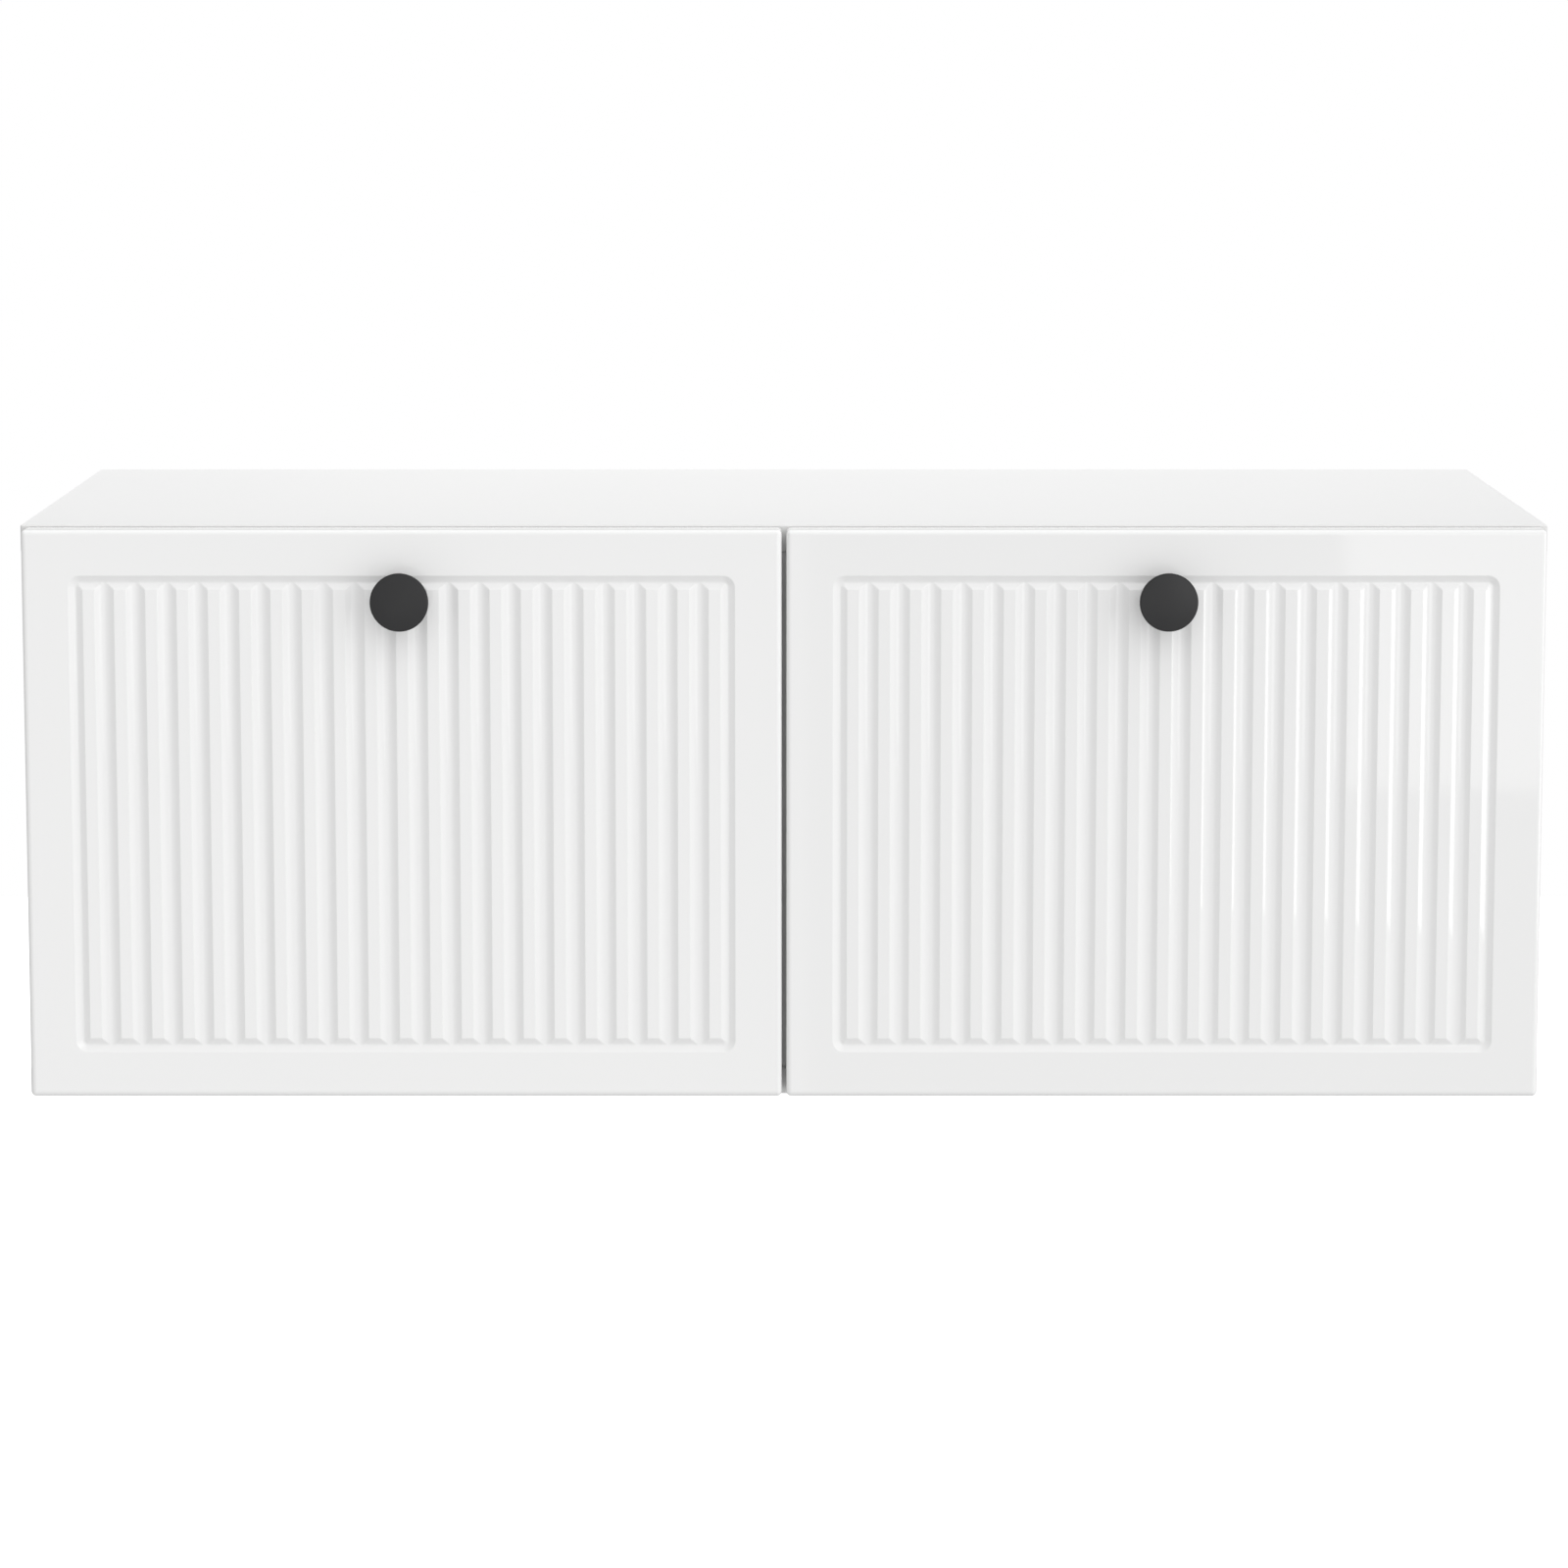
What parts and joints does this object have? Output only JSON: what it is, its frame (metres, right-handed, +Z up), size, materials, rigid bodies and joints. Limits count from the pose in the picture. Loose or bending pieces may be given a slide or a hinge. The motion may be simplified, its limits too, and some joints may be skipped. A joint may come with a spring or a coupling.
{
  "type": "hanging wall cabinet",
  "caption": "Wide white wall-hung cabinet with fluted fronts that drop down on friction stays, a round dark knob at the top of each front and a shelf behind it.",
  "frame": {"origin": "middle of the back face of the wall rail's flat flange, in the plane of the wall", "axes": "+X to the right seen from the front, +Y into the wall, +Z up; the flaps face -Y"},
  "size_m": [1, 0.4245, 0.38],
  "materials": {
    "white_board": "white melamine-faced chipboard with thin edge band, satin",
    "white_gloss_front": "routed MDF wrapped in white gloss foil",
    "white_hardboard": "hardboard, white inside and plain brown on the wall side",
    "satin_black_metal": "satin charcoal-black powder coat",
    "nickel_plated_steel": "nickel-plated steel, smooth",
    "zinc_plated_steel": "zinc-plated pressed steel",
    "white_plastic": "moulded white plastic",
    "grey_plastic": "moulded grey plastic",
    "clear_bumper": "soft clear plastic dot"
  },
  "bodies": {
    "carcass": {"top_panel": "white_board", "bottom_panel": "white_board", "left_side_panel": "white_board", "right_side_panel": "white_board", "centre_partition": "white_board", "back_panel": "white_hardboard", "wall_rail": "zinc_plated_steel", "left_shelf": "white_board", "left_shelf_front_outer_pin": "nickel_plated_steel", "left_shelf_front_inner_pin": "nickel_plated_steel", "left_shelf_back_outer_pin": "nickel_plated_steel", "left_shelf_back_inner_pin": "nickel_plated_steel", "left_hanger_housing": "zinc_plated_steel", "left_hanger_hook": "zinc_plated_steel", "left_hanger_cover": "white_plastic", "left_magnetic_catch": "white_plastic", "left_stay_base": "zinc_plated_steel", "left_outer_hinge_carcass_leaf": "nickel_plated_steel", "left_outer_hinge_pin": "nickel_plated_steel", "left_inner_hinge_carcass_leaf": "nickel_plated_steel", "left_inner_hinge_pin": "nickel_plated_steel", "right_shelf": "white_board", "right_shelf_front_outer_pin": "nickel_plated_steel", "right_shelf_front_inner_pin": "nickel_plated_steel", "right_shelf_back_outer_pin": "nickel_plated_steel", "right_shelf_back_inner_pin": "nickel_plated_steel", "right_hanger_housing": "zinc_plated_steel", "right_hanger_hook": "zinc_plated_steel", "right_hanger_cover": "white_plastic", "right_magnetic_catch": "white_plastic", "right_stay_base": "zinc_plated_steel", "right_outer_hinge_carcass_leaf": "nickel_plated_steel", "right_outer_hinge_pin": "nickel_plated_steel", "right_inner_hinge_carcass_leaf": "nickel_plated_steel", "right_inner_hinge_pin": "nickel_plated_steel"},
    "left_flap": {"left_flap": "white_gloss_front", "left_knob": "satin_black_metal", "left_knob_screw": "zinc_plated_steel", "left_outer_hinge_flap_leaf": "nickel_plated_steel", "left_inner_hinge_flap_leaf": "nickel_plated_steel", "left_strike_plate": "nickel_plated_steel", "left_flap_outer_bumper": "clear_bumper", "left_flap_inner_bumper": "clear_bumper", "left_stay_bracket": "zinc_plated_steel"},
    "left_stay_rod": {"left_stay_rod": "nickel_plated_steel", "left_stay_collar": "grey_plastic"},
    "left_stay_barrel": {"left_stay_barrel": "grey_plastic"},
    "right_flap": {"right_flap": "white_gloss_front", "right_knob": "satin_black_metal", "right_knob_screw": "zinc_plated_steel", "right_outer_hinge_flap_leaf": "nickel_plated_steel", "right_inner_hinge_flap_leaf": "nickel_plated_steel", "right_strike_plate": "nickel_plated_steel", "right_flap_outer_bumper": "clear_bumper", "right_flap_inner_bumper": "clear_bumper", "right_stay_bracket": "zinc_plated_steel"},
    "right_stay_rod": {"right_stay_rod": "nickel_plated_steel", "right_stay_collar": "grey_plastic"},
    "right_stay_barrel": {"right_stay_barrel": "grey_plastic"}
  },
  "joints": [
    {"name": "left_flap_hinge", "type": "hinge", "parent": "carcass", "child": "left_flap", "pos_m": [-0.24925, -0.381, -0.3185], "axis": [1, 0, 0], "range_deg": [0, 90]},
    {"name": "left_stay_rod_pivot", "type": "hinge", "parent": "left_flap", "child": "left_stay_rod", "pos_m": [-0.47, -0.37, -0.1689], "axis": [1, 0, 0], "range_deg": [-45, 0]},
    {"name": "left_stay_barrel_swivel", "type": "hinge", "parent": "carcass", "child": "left_stay_barrel", "pos_m": [-0.47, -0.28619, -0.20227], "axis": [1, 0, 0], "range_deg": [0, 45]},
    {"name": "right_flap_hinge", "type": "hinge", "parent": "carcass", "child": "right_flap", "pos_m": [0.24925, -0.381, -0.3185], "axis": [1, 0, 0], "range_deg": [0, 90]},
    {"name": "right_stay_rod_pivot", "type": "hinge", "parent": "right_flap", "child": "right_stay_rod", "pos_m": [0.47, -0.37, -0.1689], "axis": [1, 0, 0], "range_deg": [-45, 0]},
    {"name": "right_stay_barrel_swivel", "type": "hinge", "parent": "carcass", "child": "right_stay_barrel", "pos_m": [0.47, -0.28619, -0.20227], "axis": [1, 0, 0], "range_deg": [0, 45]}
  ],
  "couplings": [
    {"joint": "left_stay_rod_pivot", "follows": "left_flap_hinge", "ratio": -0.5},
    {"joint": "left_stay_barrel_swivel", "follows": "left_flap_hinge", "ratio": 0.5},
    {"joint": "right_stay_rod_pivot", "follows": "right_flap_hinge", "ratio": -0.5},
    {"joint": "right_stay_barrel_swivel", "follows": "right_flap_hinge", "ratio": 0.5}
  ]
}
